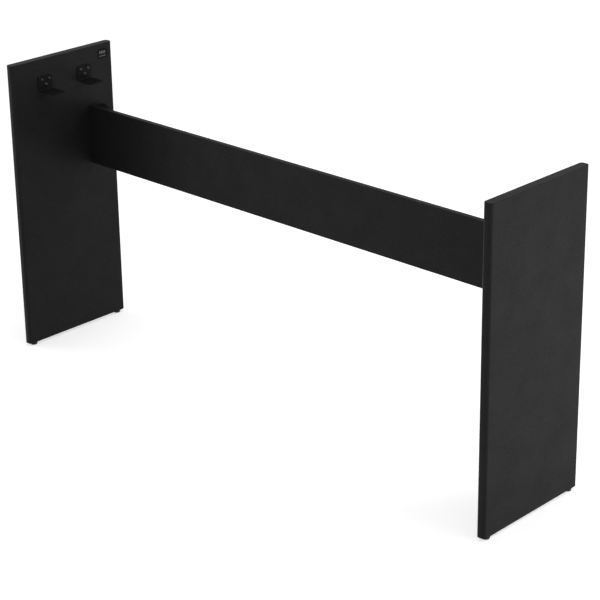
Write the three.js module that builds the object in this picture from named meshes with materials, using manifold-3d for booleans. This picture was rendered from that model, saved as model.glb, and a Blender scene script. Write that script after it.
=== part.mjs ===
// Digital piano stand: two upright side boards joined by a cross board, with steel angle brackets
// on the inner faces that carry the piano.
// The origin is on the floor under the middle. +X is to the player's right, +Y is away from the
// player and +Z is up. Lengths are in millimetres.

import * as THREE from "three";
import { mergeVertices } from "three/addons/utils/BufferGeometryUtils.js";
import Module from "manifold-3d";

const wasm = await Module();
wasm.setup();

// The whole stand
const clearWidth = 1336; // between the inner faces, for a piano of up to 1324
const standHeight = 680;
const seatGap = 0.1; // left under a piece that is screwed against another
const holeClearance = 0.3; // round a shank, dowel or insert in its hole
const overrun = 2; // how far a cutting tool passes the face it cuts

// Side boards
const boardDepth = 294;
const boardThickness = 20;
const boardEdgeRadius = 7; // on the four upright edges
const bandThickness = 1; // strips on the cut top and bottom edges
const glueLine = 0.05;

// Cross board
const crossHeight = 140;
const crossThickness = 12;
const crossBelowTop = 139;
const crossFromFront = 217.5; // front edge of a side board to the cross board's front face

// Piano brackets
const bracketWidth = 40;
const bracketRise = 35;
const bracketReach = 48;
const bracketSheet = 3;
const bracketBend = 2.5; // inner radius of the fold
const bracketCorner = 3;
const bracketBelowTop = 40;
const firstBracketFromFront = 92;
const bracketPitch = 114;
const pianoHoleRadius = 4.5;
const pianoHoleFromBoard = 34;

// Screws that hold a bracket plate, two above and one below
const upperScrewSpacing = 21;
const upperScrewBelowPlateTop = 7.5;
const lowerScrewDrop = 12;
const bracketScrewLength = 16;

// Wood screws, the same size for the brackets and the corner fittings
const screwShankRadius = 1.9;
const screwHeadRadius = 3.8;
const screwHeadHeight = 2.4;
const screwTipLength = 3;
const screwTipRoom = 1; // left free at the bottom of a blind hole

// Corner fittings behind the cross board
const fittingReach = 68; // along the cross board
const fittingDepth = 32.5; // along the side board
const fittingHeight = 100;
const fittingBelowCrossTop = 5;
const fittingSheet = 2;
const fittingBend = 1.5;
const fittingBoltSpacing = 50;
const fittingBoltFromFold = 16.5;
const fittingScrewFirst = 28; // side board to the first column of screws
const fittingScrewPitch = 26;
const fittingScrewRows = 64; // between the two rows
const fittingScrewLength = 10;

// Bolts and threaded inserts between a corner fitting and its side board
const boltShankRadius = 2.95;
const boltHeadRadius = 5.6;
const boltHeadHeight = 3.4;
const boltTipLength = 1;
const boltShortOfInsertEnd = 2;
const insertLength = 13;
const insertRadius = 5;

// Dowels in the ends of the cross board
const dowelRadius = 3;
const dowelInSideBoard = 12;
const dowelInCrossBoard = 20;
const dowelFromEdge = 32;
const dowelChamfer = 1;

// Glides and the pins that hold them
const glideHeight = 6.5;
const glideRadius = 9;
const glideFootRadius = 7.5;
const glideRimHeight = 2;
const glideFromEdge = 18;
const pinHeadRadius = 3;
const pinHeadThickness = 1.2;
const pinShankRadius = 1.2;
const pinLength = 20;
const pinTipLength = 2;
const pinRecess = 2.2;

// Sticker near the upper back corner of the left board, left blank
const stickerWidth = 28;
const stickerHeight = 21;
const stickerThickness = 0.3;
const stickerCorner = 1.5;
const stickerFromBack = 15;
const stickerBelowTop = 13;

// Proportions of the screw heads, and how finely round shapes are cut
const headRimShare = 0.35;
const recessSpanShare = 1.1;
const recessWidthShare = 0.24;
const recessDepthShare = 0.5;
const domeSteps = 3;
const screwSides = 12;
const glideSides = 24;
const arcSteps = 6;

// Places that follow from the sizes above
const frontEdge = -boardDepth / 2;
const backEdge = boardDepth / 2;
const sideUnderside = glideHeight + seatGap;
const boardBottom = sideUnderside + bandThickness + glueLine;
const boardTop = standHeight - bandThickness - glueLine;
const crossFront = frontEdge + crossFromFront;
const crossMiddle = crossFront + crossThickness / 2;
const crossBack = crossFront + crossThickness;
const crossTop = standHeight - crossBelowTop;
const crossUnderside = crossTop - crossHeight;
const crossLength = clearWidth - 2 * seatGap;
const bracketUnderside = standHeight - bracketBelowTop - bracketRise;
const bracketPlaces = [
  ["front", frontEdge + firstBracketFromFront],
  ["rear", frontEdge + firstBracketFromFront + bracketPitch],
];
const plateScrewPlaces = [
  [-upperScrewSpacing / 2, bracketRise - upperScrewBelowPlateTop],
  [upperScrewSpacing / 2, bracketRise - upperScrewBelowPlateTop],
  [0, bracketRise - upperScrewBelowPlateTop - lowerScrewDrop],
];
const fittingTop = crossTop - fittingBelowCrossTop;
const fittingMiddle = fittingTop - fittingHeight / 2;
const fittingBack = crossBack + seatGap;
const boltPlaces = [-fittingBoltSpacing / 2, fittingBoltSpacing / 2];
const fittingScrewPlaces = [fittingScrewFirst, fittingScrewFirst + fittingScrewPitch].flatMap((x) => [
  [x, -fittingScrewRows / 2],
  [x, fittingScrewRows / 2],
]);
const boltLength = insertLength + fittingSheet - boltShortOfInsertEnd;
const dowelHeights = [
  ["lower", crossUnderside + dowelFromEdge],
  ["upper", crossTop - dowelFromEdge],
];
const glidePlaces = [
  ["front", frontEdge + glideFromEdge],
  ["rear", backEdge - glideFromEdge],
];

// Finishes
function finish(color, roughness, metalness) {
  return new THREE.MeshStandardMaterial({ color, roughness, metalness });
}
const laminate = finish(0x232225, 0.5, 0);
const bandPlastic = finish(0x2a292c, 0.45, 0);
const blackSteel = finish(0x19191a, 0.5, 0.3);
const darkZinc = finish(0x55565a, 0.35, 0.9);
const brightZinc = finish(0xb4b5b2, 0.35, 0.9);
const beech = finish(0xc8a478, 0.7, 0);
const glidePlastic = finish(0x141415, 0.6, 0);
const stickerFoil = finish(0x101011, 0.4, 0);

// Joining and cutting closed shapes
function solidOf(geometry) {
  const bare = geometry.index ? geometry.toNonIndexed() : geometry.clone();
  bare.deleteAttribute("normal");
  bare.deleteAttribute("uv");
  const merged = mergeVertices(bare);
  return new wasm.Manifold(
    new wasm.Mesh({
      numProp: 3,
      vertProperties: merged.attributes.position.array,
      triVerts: new Uint32Array(merged.index.array),
    }),
  );
}

function geometryOf(solid) {
  const { vertProperties, triVerts, numProp } = solid.getMesh();
  const indexed = new THREE.BufferGeometry();
  indexed.setAttribute("position", new THREE.BufferAttribute(vertProperties, numProp));
  indexed.setIndex(new THREE.BufferAttribute(triVerts, 1));
  const flat = indexed.toNonIndexed();
  flat.computeVertexNormals();
  return flat;
}

function join(...shapes) {
  return geometryOf(shapes.map(solidOf).reduce((whole, shape) => whole.add(shape)));
}

function common(...shapes) {
  return geometryOf(shapes.map(solidOf).reduce((whole, shape) => whole.intersect(shape)));
}

function cut(body, tools) {
  return geometryOf(tools.map(solidOf).reduce((whole, tool) => whole.subtract(tool), solidOf(body)));
}

// Flat outlines
function roundedRectangle(width, height, radius) {
  const right = width / 2 - radius;
  const top = height / 2 - radius;
  const outline = new THREE.Shape();
  outline.absarc(right, top, radius, 0, Math.PI / 2);
  outline.absarc(-right, top, radius, Math.PI / 2, Math.PI);
  outline.absarc(-right, -top, radius, Math.PI, Math.PI * 1.5);
  outline.absarc(right, -top, radius, Math.PI * 1.5, Math.PI * 2);
  outline.closePath();
  return outline;
}

// A strip that starts behind the origin and ends at the given length with two rounded corners
function tabOutline(width, length, radius) {
  const right = width / 2;
  const outline = new THREE.Shape();
  outline.moveTo(-right, -overrun);
  outline.lineTo(right, -overrun);
  outline.absarc(right - radius, length - radius, radius, 0, Math.PI / 2);
  outline.absarc(radius - right, length - radius, radius, Math.PI / 2, Math.PI);
  outline.closePath();
  return outline;
}

// The section of a folded sheet, with one leg out along the outline's X and one up along its Y
function angleOutline(out, up, sheet, bend) {
  const inner = sheet + bend;
  const outline = new THREE.Shape();
  outline.moveTo(0, up);
  outline.lineTo(sheet, up);
  outline.absarc(inner, inner, bend, Math.PI, Math.PI * 1.5);
  outline.lineTo(out, sheet);
  outline.lineTo(out, 0);
  outline.absarc(inner, inner, inner, Math.PI * 1.5, Math.PI, true);
  outline.closePath();
  return outline;
}

function extrude(outline, depth) {
  return new THREE.ExtrudeGeometry(outline, { depth, bevelEnabled: false, curveSegments: arcSteps });
}

// Round bars along each axis, used as drills
function barAlongX(radius, start, end, y, z) {
  const bar = new THREE.CylinderGeometry(radius, radius, end - start, screwSides);
  return bar.rotateZ(-Math.PI / 2).translate((start + end) / 2, y, z);
}

function barAlongY(radius, start, end, x, z) {
  const bar = new THREE.CylinderGeometry(radius, radius, end - start, screwSides);
  return bar.translate(x, (start + end) / 2, z);
}

function barAlongZ(radius, start, end, x, y) {
  const bar = new THREE.CylinderGeometry(radius, radius, end - start, screwSides);
  return bar.rotateX(Math.PI / 2).translate(x, y, (start + end) / 2);
}

// Domed screw with a cross recess, its head up along +Y and the underside of the head at zero
function screwGeometry(headRadius, headHeight, shankRadius, length, tipLength) {
  const rim = headHeight * headRimShare;
  const profile = [
    new THREE.Vector2(0, -length),
    new THREE.Vector2(shankRadius, tipLength - length),
    new THREE.Vector2(shankRadius, 0),
    new THREE.Vector2(headRadius, 0),
  ];
  for (let step = 0; step < domeSteps; step += 1) {
    const turn = (step / domeSteps) * (Math.PI / 2);
    profile.push(new THREE.Vector2(headRadius * Math.cos(turn), rim + (headHeight - rim) * Math.sin(turn)));
  }
  profile.push(new THREE.Vector2(0, headHeight));
  const span = headRadius * recessSpanShare;
  const width = headRadius * recessWidthShare;
  const depth = headHeight * recessDepthShare;
  const slots = [
    [span, width],
    [width, span],
  ].map(([x, z]) => new THREE.BoxGeometry(x, 2 * depth, z).translate(0, headHeight, 0));
  return cut(new THREE.LatheGeometry(profile, screwSides), slots);
}

// Adds one named piece to a group
function place(group, name, geometry, material, x = 0, y = 0, z = 0) {
  const mesh = new THREE.Mesh(geometry, material);
  mesh.name = name;
  mesh.position.set(x, y, z);
  group.add(mesh);
  return mesh;
}

// Side boards: the inner face is at x = 0 and the board lies on its negative side
function boardPlan() {
  return roundedRectangle(boardThickness, boardDepth, boardEdgeRadius);
}

function bracketDrills() {
  const depth = bracketScrewLength - bracketSheet + screwTipRoom;
  const radius = screwShankRadius + holeClearance;
  return bracketPlaces.flatMap(([, y]) =>
    plateScrewPlaces.map(([across, up]) =>
      barAlongX(radius, -depth, overrun, y + across, bracketUnderside + up),
    ),
  );
}

function insertDrills() {
  const y = fittingBack + fittingBoltFromFold;
  const depth = insertLength + screwTipRoom;
  return boltPlaces.map((up) =>
    barAlongX(insertRadius + holeClearance, -depth, overrun, y, fittingMiddle + up),
  );
}

function sideDowelDrills() {
  const depth = dowelInSideBoard + screwTipRoom;
  return dowelHeights.map(([, z]) =>
    barAlongX(dowelRadius + holeClearance, -depth, overrun, crossMiddle, z),
  );
}

function pinDrills() {
  const end = pinRecess + pinLength + screwTipRoom;
  return glidePlaces.map(([, y]) =>
    barAlongZ(pinShankRadius + holeClearance, -overrun, end, -boardThickness / 2, y),
  );
}

function addSideBoard(side, label) {
  const middle = -boardThickness / 2;
  const board = extrude(boardPlan(), boardTop - boardBottom).translate(middle, 0, boardBottom);
  const drills = [...bracketDrills(), ...insertDrills(), ...sideDowelDrills(), ...pinDrills()];
  place(side, `${label}_side_board`, cut(board, drills), laminate);
  const band = extrude(boardPlan(), bandThickness);
  const bottomBand = band.clone().translate(middle, 0, sideUnderside);
  const topBand = band.translate(middle, 0, standHeight - bandThickness);
  place(side, `${label}_bottom_edge_band`, cut(bottomBand, pinDrills()), bandPlastic);
  place(side, `${label}_top_edge_band`, topBand, bandPlastic);
}

// Piano bracket: a folded plate with its fold along Y, its underside at z = 0 and its back at x = 0
function bracketGeometry() {
  const half = bracketWidth / 2;
  const folded = extrude(angleOutline(bracketReach, bracketRise, bracketSheet, bracketBend), bracketWidth);
  folded.rotateX(Math.PI / 2).translate(0, half, 0);
  const plateView = extrude(tabOutline(bracketWidth, bracketRise, bracketCorner), bracketReach + 2 * overrun);
  plateView.rotateX(Math.PI / 2).rotateZ(Math.PI / 2).translate(-overrun, 0, 0);
  const leafView = extrude(tabOutline(bracketWidth, bracketReach, bracketCorner), bracketRise + 2 * overrun);
  leafView.rotateZ(-Math.PI / 2).translate(0, 0, -overrun);
  const radius = screwShankRadius + holeClearance;
  const screwHoles = plateScrewPlaces.map(([across, up]) =>
    barAlongX(radius, -overrun, bracketSheet + overrun, across, up),
  );
  const pianoHole = barAlongZ(pianoHoleRadius, -overrun, bracketSheet + overrun, pianoHoleFromBoard, 0);
  return cut(common(folded, plateView, leafView), [...screwHoles, pianoHole]);
}

function addBrackets(side, label) {
  const bracket = bracketGeometry();
  const screw = screwGeometry(
    screwHeadRadius,
    screwHeadHeight,
    screwShankRadius,
    bracketScrewLength,
    screwTipLength,
  );
  const headSeat = bracketSheet + 2 * seatGap;
  for (const [end, y] of bracketPlaces) {
    place(side, `${label}_${end}_piano_bracket`, bracket, blackSteel, seatGap, y, bracketUnderside);
    plateScrewPlaces.forEach(([across, up], index) => {
      const name = `${label}_${end}_bracket_screw_${index + 1}`;
      const mesh = place(side, name, screw, darkZinc, headSeat, y + across, bracketUnderside + up);
      mesh.rotation.z = -Math.PI / 2;
    });
  }
}

// Corner fitting: a folded sheet with a triangular flange above and below. Its outer corner is at
// x = 0, y = 0, against the side board and the back of the cross board.
function flangeOutline() {
  const inner = fittingSheet + fittingBend;
  const outline = new THREE.Shape();
  outline.moveTo(fittingReach, 0);
  outline.lineTo(fittingReach, fittingSheet);
  outline.lineTo(inner, fittingDepth);
  outline.lineTo(0, fittingDepth);
  outline.absarc(inner, inner, inner, Math.PI, Math.PI * 1.5);
  outline.closePath();
  return outline;
}

function fittingGeometry() {
  const half = fittingHeight / 2;
  const section = angleOutline(fittingReach, fittingDepth, fittingSheet, fittingBend);
  const folded = extrude(section, fittingHeight).translate(0, 0, -half);
  const flange = extrude(flangeOutline(), fittingSheet);
  const lower = flange.clone().translate(0, 0, -half);
  const upper = flange.translate(0, 0, half - fittingSheet);
  const boltHoles = boltPlaces.map((up) =>
    barAlongX(boltShankRadius + holeClearance, -overrun, fittingSheet + overrun, fittingBoltFromFold, up),
  );
  const screwHoles = fittingScrewPlaces.map(([x, up]) =>
    barAlongY(screwShankRadius + holeClearance, -overrun, fittingSheet + overrun, x, up),
  );
  return cut(join(folded, lower, upper), [...boltHoles, ...screwHoles]);
}

// Threaded insert: a sleeve along +Y that is open at both ends
function insertGeometry() {
  const bore = boltShankRadius + holeClearance;
  const sleeve = [
    new THREE.Vector2(bore, 0),
    new THREE.Vector2(insertRadius, 0),
    new THREE.Vector2(insertRadius, insertLength),
    new THREE.Vector2(bore, insertLength),
    new THREE.Vector2(bore, 0),
  ];
  return new THREE.LatheGeometry(sleeve, screwSides);
}

function addCornerFitting(side, label) {
  place(side, `${label}_corner_fitting`, fittingGeometry(), blackSteel, seatGap, fittingBack, fittingMiddle);
  const bolt = screwGeometry(boltHeadRadius, boltHeadHeight, boltShankRadius, boltLength, boltTipLength);
  const insert = insertGeometry();
  const boltY = fittingBack + fittingBoltFromFold;
  boltPlaces.forEach((up, index) => {
    const z = fittingMiddle + up;
    const headSeat = fittingSheet + 2 * seatGap;
    const boltMesh = place(side, `${label}_fitting_bolt_${index + 1}`, bolt, darkZinc, headSeat, boltY, z);
    boltMesh.rotation.z = -Math.PI / 2;
    const insertName = `${label}_threaded_insert_${index + 1}`;
    const insertMesh = place(side, insertName, insert, brightZinc, -insertLength, boltY, z);
    insertMesh.rotation.z = -Math.PI / 2;
  });
  const screw = screwGeometry(
    screwHeadRadius,
    screwHeadHeight,
    screwShankRadius,
    fittingScrewLength,
    screwTipLength,
  );
  const headY = fittingBack + fittingSheet + seatGap;
  fittingScrewPlaces.forEach(([x, up], index) => {
    const name = `${label}_fitting_screw_${index + 1}`;
    place(side, name, screw, darkZinc, x + seatGap, headY, fittingMiddle + up);
  });
}

// Dowels: plain beech pegs with chamfered ends, half in the side board and half in the cross board
function dowelGeometry() {
  const length = dowelInSideBoard + dowelInCrossBoard;
  const thin = dowelRadius - dowelChamfer;
  const profile = [
    new THREE.Vector2(0, 0),
    new THREE.Vector2(thin, 0),
    new THREE.Vector2(dowelRadius, dowelChamfer),
    new THREE.Vector2(dowelRadius, length - dowelChamfer),
    new THREE.Vector2(thin, length),
    new THREE.Vector2(0, length),
  ];
  return new THREE.LatheGeometry(profile, screwSides);
}

function addDowels(side, label) {
  const dowel = dowelGeometry();
  for (const [level, z] of dowelHeights) {
    const mesh = place(side, `${label}_${level}_dowel`, dowel, beech, -dowelInSideBoard, crossMiddle, z);
    mesh.rotation.z = -Math.PI / 2;
  }
}

// Glides: round plastic feet with a chamfer round the foot and a recess for the pin's head
function glideGeometry() {
  const recessRadius = pinHeadRadius + holeClearance;
  const shankHole = pinShankRadius + holeClearance;
  const profile = [
    new THREE.Vector2(recessRadius, 0),
    new THREE.Vector2(glideFootRadius, 0),
    new THREE.Vector2(glideRadius, glideHeight - glideRimHeight),
    new THREE.Vector2(glideRadius, glideHeight),
    new THREE.Vector2(shankHole, glideHeight),
    new THREE.Vector2(shankHole, pinRecess),
    new THREE.Vector2(recessRadius, pinRecess),
    new THREE.Vector2(recessRadius, 0),
  ];
  return new THREE.LatheGeometry(profile, glideSides);
}

function pinGeometry() {
  const profile = [
    new THREE.Vector2(0, -pinHeadThickness),
    new THREE.Vector2(pinHeadRadius, -pinHeadThickness),
    new THREE.Vector2(pinHeadRadius, 0),
    new THREE.Vector2(pinShankRadius, 0),
    new THREE.Vector2(pinShankRadius, pinLength - pinTipLength),
    new THREE.Vector2(0, pinLength),
  ];
  return new THREE.LatheGeometry(profile, screwSides);
}

function addGlides(side, label) {
  const glide = glideGeometry();
  const pin = pinGeometry();
  const middle = -boardThickness / 2;
  for (const [end, y] of glidePlaces) {
    const glideMesh = place(side, `${label}_${end}_glide`, glide, glidePlastic, middle, y, 0);
    glideMesh.rotation.x = Math.PI / 2;
    const pinMesh = place(side, `${label}_${end}_glide_pin`, pin, brightZinc, middle, y, pinRecess - seatGap);
    pinMesh.rotation.x = Math.PI / 2;
  }
}

// Cross board, in the stand's own frame
function addCrossBoard(stand) {
  const woodHeight = crossHeight - 2 * (bandThickness + glueLine);
  const woodMiddle = crossTop - crossHeight / 2;
  const wood = new THREE.BoxGeometry(crossLength, crossThickness, woodHeight);
  const inner = clearWidth / 2;
  const drills = [];
  for (const hand of [-1, 1]) {
    for (const [, z] of dowelHeights) {
      const ends = [hand * (inner + overrun), hand * (inner - dowelInCrossBoard - screwTipRoom)];
      ends.sort((a, b) => a - b);
      drills.push(barAlongX(dowelRadius + holeClearance, ends[0], ends[1], crossMiddle, z));
    }
    for (const [x, up] of fittingScrewPlaces) {
      const depth = fittingScrewLength - fittingSheet + screwTipRoom;
      const screwX = hand * (inner - x - seatGap);
      const radius = screwShankRadius + holeClearance;
      drills.push(barAlongY(radius, crossBack - depth, crossBack + overrun, screwX, fittingMiddle + up));
    }
  }
  place(stand, "cross_board", cut(wood.translate(0, crossMiddle, woodMiddle), drills), laminate);
  const band = new THREE.BoxGeometry(crossLength, crossThickness, bandThickness);
  const half = bandThickness / 2;
  place(stand, "cross_top_edge_band", band, bandPlastic, 0, crossMiddle, crossTop - half);
  place(stand, "cross_bottom_edge_band", band, bandPlastic, 0, crossMiddle, crossUnderside + half);
}

// Blank sticker on the left board
function addSticker(side) {
  const outline = roundedRectangle(stickerWidth, stickerHeight, stickerCorner);
  const sticker = extrude(outline, stickerThickness).rotateX(Math.PI / 2).rotateZ(Math.PI / 2);
  const y = backEdge - stickerFromBack - stickerWidth / 2;
  const z = standHeight - stickerBelowTop - stickerHeight / 2;
  place(side, "blank_sticker", sticker, stickerFoil, seatGap, y, z);
}

// The assembly: the right side is the left side mirrored
function sideGroup(label) {
  const side = new THREE.Group();
  addSideBoard(side, label);
  addBrackets(side, label);
  addCornerFitting(side, label);
  addDowels(side, label);
  addGlides(side, label);
  return side;
}

const stand = new THREE.Group();
const leftSide = sideGroup("left");
leftSide.position.x = -clearWidth / 2;
addSticker(leftSide);
const rightSide = sideGroup("right");
rightSide.position.x = clearWidth / 2;
rightSide.scale.x = -1;
stand.add(leftSide, rightSide);
addCrossBoard(stand);

export default stand;
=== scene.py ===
from math import pi, radians

import bmesh
import bpy
from mathutils import Matrix, Vector


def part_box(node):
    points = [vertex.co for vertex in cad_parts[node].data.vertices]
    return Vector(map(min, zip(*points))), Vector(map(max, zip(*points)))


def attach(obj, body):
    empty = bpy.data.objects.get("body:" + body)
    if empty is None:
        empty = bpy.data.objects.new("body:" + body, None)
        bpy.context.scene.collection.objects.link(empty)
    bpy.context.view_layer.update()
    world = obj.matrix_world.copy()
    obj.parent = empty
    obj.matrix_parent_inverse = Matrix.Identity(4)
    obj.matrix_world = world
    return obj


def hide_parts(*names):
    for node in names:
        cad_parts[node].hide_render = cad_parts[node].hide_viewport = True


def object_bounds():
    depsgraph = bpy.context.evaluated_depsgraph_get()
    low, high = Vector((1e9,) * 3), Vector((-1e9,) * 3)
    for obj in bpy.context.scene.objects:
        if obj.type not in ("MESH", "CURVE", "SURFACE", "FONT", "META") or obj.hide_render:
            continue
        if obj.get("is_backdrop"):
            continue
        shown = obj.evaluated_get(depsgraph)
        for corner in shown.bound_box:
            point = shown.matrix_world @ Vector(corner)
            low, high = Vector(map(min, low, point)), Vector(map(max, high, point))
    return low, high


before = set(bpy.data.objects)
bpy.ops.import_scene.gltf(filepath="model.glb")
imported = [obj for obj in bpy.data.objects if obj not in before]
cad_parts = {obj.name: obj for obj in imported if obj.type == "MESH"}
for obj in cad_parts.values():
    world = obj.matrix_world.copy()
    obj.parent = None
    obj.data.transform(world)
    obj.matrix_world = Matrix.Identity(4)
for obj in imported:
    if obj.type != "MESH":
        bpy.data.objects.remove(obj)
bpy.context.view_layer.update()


# Side boards
# Two upright panels of 20 mm particle board wrapped in black laminate with a fine pressed grain.
# The long edges are rounded first and the laminate runs round them. Bores are drilled from inside.
sides = ("left", "right")
ends = ("front", "rear")
levels = ("lower", "upper")
plate_screws = (1, 2, 3)
bolts = (1, 2)
x_axis, y_axis, z_axis = range(3)
whole = (0.0, 1.0)
fading = (1.0, 0.0)
same_place = 1e-6
laminate_black = (0.0066, 0.0064, 0.0067, 1.0)
# The pale laminate colour: the grain's lighter tone mixes toward it, and so do the paler edges, which stand
# for rubbing wear and for a painted highlight on the arris.
laminate_pale_and_highlight = (0.022, 0.0215, 0.022, 1.0)
laminate_specular = 0.08
laminate_rough = (0.52, 0.34)
laminate_relief = (0.6, 0.00012)
pore_size = 0.0009
pebble_size = 0.0028
pebbles_in_cloud = 20.0
pebble_wander_share = 1.4
pebble_height_share = 2.2
pore_height_share = 0.35
dome_span = (0.35, 0.85)
dome_tone_share = 0.2
wander_span = (0.45, 0.7)
wander_tone_share = 0.25
tint_span = (0.3, 0.9)
tint_tone_share = 0.3
cloud_span = (0.35, 0.65)
cloud_tone_share = 0.25
grain_tone_share = 0.5
# Paler board edges: partly rubbing wear, partly painted highlight along the arris.
arris_reach = 0.0015
arris_tone_share = 0.35
arris_breakup_scale = 60.0
arris_breakup_span = (0.42, 0.68)
arris_breakup_shares = (0.1, 1.0)
side_edge_radius = 0.007
side_edge_steps = 10
round_profile = 0.5
bore_sides = 32
bore_overrun = 0.002
bore_room = 0.001
screw_bore = 0.0022
insert_bore = 0.0053
dowel_bore = 0.0033
pin_bore = 0.0015
smooth_angle = radians(40.0)
even_shading_weight = 100


def fill_sockets(tree, node, inputs):
    """Links a node's inputs or sets them, by name or number."""
    for socket, value in inputs.items():
        if isinstance(value, bpy.types.NodeSocket):
            tree.links.new(value, node.inputs[socket])
        else:
            node.inputs[socket].default_value = value


def add_node(tree, kind, inputs, **settings):
    """A shader node with its inputs and settings."""
    node = tree.nodes.new("ShaderNode" + kind)
    for setting, value in settings.items():
        setattr(node, setting, value)
    fill_sockets(tree, node, inputs)
    return node


def calc(tree, operation, *values):
    """One step of arithmetic on numbers or sockets."""
    return add_node(tree, "Math", dict(enumerate(values)), operation=operation).outputs[0]


def vector_calc(tree, operation, *vectors):
    """One step of arithmetic on vectors or their sockets."""
    return add_node(tree, "VectorMath", dict(enumerate(vectors)), operation=operation).outputs[0]


def parts_of(tree, vector):
    """The three parts of a vector."""
    return add_node(tree, "SeparateXYZ", {"Vector": vector}).outputs


def remap(tree, value, span, shares=whole):
    """A value carried from one range to another and held inside it."""
    inputs = {
        "Value": value,
        "From Min": span[0],
        "From Max": span[1],
        "To Min": shares[0],
        "To Max": shares[1],
    }
    return add_node(tree, "MapRange", inputs).outputs[0]


def noise(tree, place, scale, detail):
    """Cloudy noise between nought and one."""
    return add_node(tree, "TexNoise", {"Vector": place, "Scale": scale, "Detail": detail}).outputs["Fac"]


def mix_colours(tree, share, first, second):
    """Two colours mixed by a share of the second. The node's colour sockets go by number."""
    return add_node(tree, "Mix", {0: share, 6: first, 7: second}, data_type="RGBA").outputs[2]


def new_group(name, inputs, outputs):
    """An empty shader group with its sockets, given as name: (kind, default)."""
    tree = bpy.data.node_groups.new(name, "ShaderNodeTree")
    for label, (kind, default) in inputs.items():
        socket = tree.interface.new_socket(name=label, in_out="INPUT", socket_type="NodeSocket" + kind)
        socket.default_value = default
    for label, kind in outputs.items():
        tree.interface.new_socket(name=label, in_out="OUTPUT", socket_type="NodeSocket" + kind)
    start = tree.nodes.new("NodeGroupInput")
    return tree, start.outputs, tree.nodes.new("NodeGroupOutput").inputs


def use_group(tree, group, inputs):
    """A shader group placed in a material with its own values."""
    node = tree.nodes.new("ShaderNodeGroup")
    node.node_tree = group
    fill_sockets(tree, node, inputs)
    return node.outputs


def new_material(name, specular, **numbers):
    """A material with one Principled shader, its tree and the object coordinates."""
    material = bpy.data.materials.new(name)
    material.use_nodes = True
    tree = material.node_tree
    shader = next(n for n in tree.nodes if n.type == "BSDF_PRINCIPLED")
    shader.inputs["Specular IOR Level"].default_value = specular
    for label, value in numbers.items():
        shader.inputs[label].default_value = value
    place = add_node(tree, "TexCoord", {}).outputs["Object"]
    return material, tree, shader.inputs, place


def link_surface(tree, shader, colour, roughness, height, relief):
    """Links a material's colour, roughness and bump to its shader."""
    tree.links.new(colour, shader["Base Color"])
    tree.links.new(roughness, shader["Roughness"])
    strength, depth = relief
    bump = add_node(tree, "Bump", {"Strength": strength, "Distance": depth, "Height": height})
    tree.links.new(bump.outputs[0], shader["Normal"])


def pressed_grain():
    """Fine pores and shallow pebbles with soft tops, as a textured press plate leaves them."""
    inputs = {
        "Vector": ("Vector", (0, 0, 0)),
        "Pore Size": ("Float", pore_size),
        "Pebble Size": ("Float", pebble_size),
    }
    tree, given, out = new_group("pressed_grain", inputs, {"Height": "Float", "Tone": "Float"})
    place = given["Vector"]
    pore_scale = calc(tree, "DIVIDE", 1.0, given["Pore Size"])
    pebble_scale = calc(tree, "DIVIDE", 1.0, given["Pebble Size"])
    pores = add_node(tree, "TexVoronoi", {"Vector": place, "Scale": pore_scale}, feature="SMOOTH_F1")
    wander = add_node(tree, "TexNoise", {"Vector": place, "Scale": pebble_scale, "Detail": 2.0})
    wander_reach = calc(tree, "MULTIPLY", given["Pebble Size"], pebble_wander_share)
    stretch = {"Vector": wander.outputs["Color"], "Scale": wander_reach}
    push = add_node(tree, "VectorMath", stretch, operation="SCALE").outputs[0]
    bent = vector_calc(tree, "ADD", place, push)
    pebbles = add_node(tree, "TexVoronoi", {"Vector": bent, "Scale": pebble_scale}, feature="SMOOTH_F1")
    domes = calc(tree, "SUBTRACT", 1.0, pebbles.outputs["Distance"])
    raised = calc(tree, "MULTIPLY", domes, pebble_height_share)
    sunk = calc(tree, "MULTIPLY", pores.outputs["Distance"], pore_height_share)
    tree.links.new(calc(tree, "ADD", raised, sunk), out["Height"])
    pebble_tint = parts_of(tree, pebbles.outputs["Color"])[0]
    cloud = noise(tree, place, calc(tree, "DIVIDE", pebble_scale, pebbles_in_cloud), detail=4.0)
    tone = 0.0
    for layer, span, share in (
            (domes, dome_span, dome_tone_share),
            (wander.outputs["Fac"], wander_span, wander_tone_share),
            (pebble_tint, tint_span, tint_tone_share),
            (cloud, cloud_span, cloud_tone_share)):
        tone = calc(tree, "MULTIPLY_ADD", remap(tree, layer, span), share, tone)
    tree.links.new(tone, out["Tone"])
    return tree


def worn_and_highlit_arris():
    """How near a point lies to the straight edges of a box, broken up by noise: rubbing wear along the
    edges together with a painted arris highlight.
    """
    inputs = {
        "Vector": ("Vector", (0, 0, 0)),
        "Centre": ("Vector", (0, 0, 0)),
        "Half Size": ("Vector", (1, 1, 1)),
        "Reach": ("Float", arris_reach),
    }
    tree, given, out = new_group("worn_and_highlit_arris", inputs, {"Mask": "Float"})
    offset = vector_calc(tree, "SUBTRACT", given["Vector"], given["Centre"])
    inside = vector_calc(tree, "SUBTRACT", given["Half Size"], vector_calc(tree, "ABSOLUTE", offset))
    near = [remap(tree, part, (0.0, given["Reach"]), fading) for part in parts_of(tree, inside)]
    pairs = [calc(tree, "MULTIPLY", near[a], near[b]) for a, b in ((0, 1), (1, 2), (0, 2))]
    edge = calc(tree, "MAXIMUM", pairs[0], calc(tree, "MAXIMUM", pairs[1], pairs[2]))
    broken_up = remap(tree, noise(tree, given["Vector"], arris_breakup_scale, detail=5.0), arris_breakup_span, arris_breakup_shares)
    tree.links.new(calc(tree, "MULTIPLY", edge, broken_up), out["Mask"])
    return tree


grain_group = pressed_grain()
arris_group = worn_and_highlit_arris()


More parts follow.
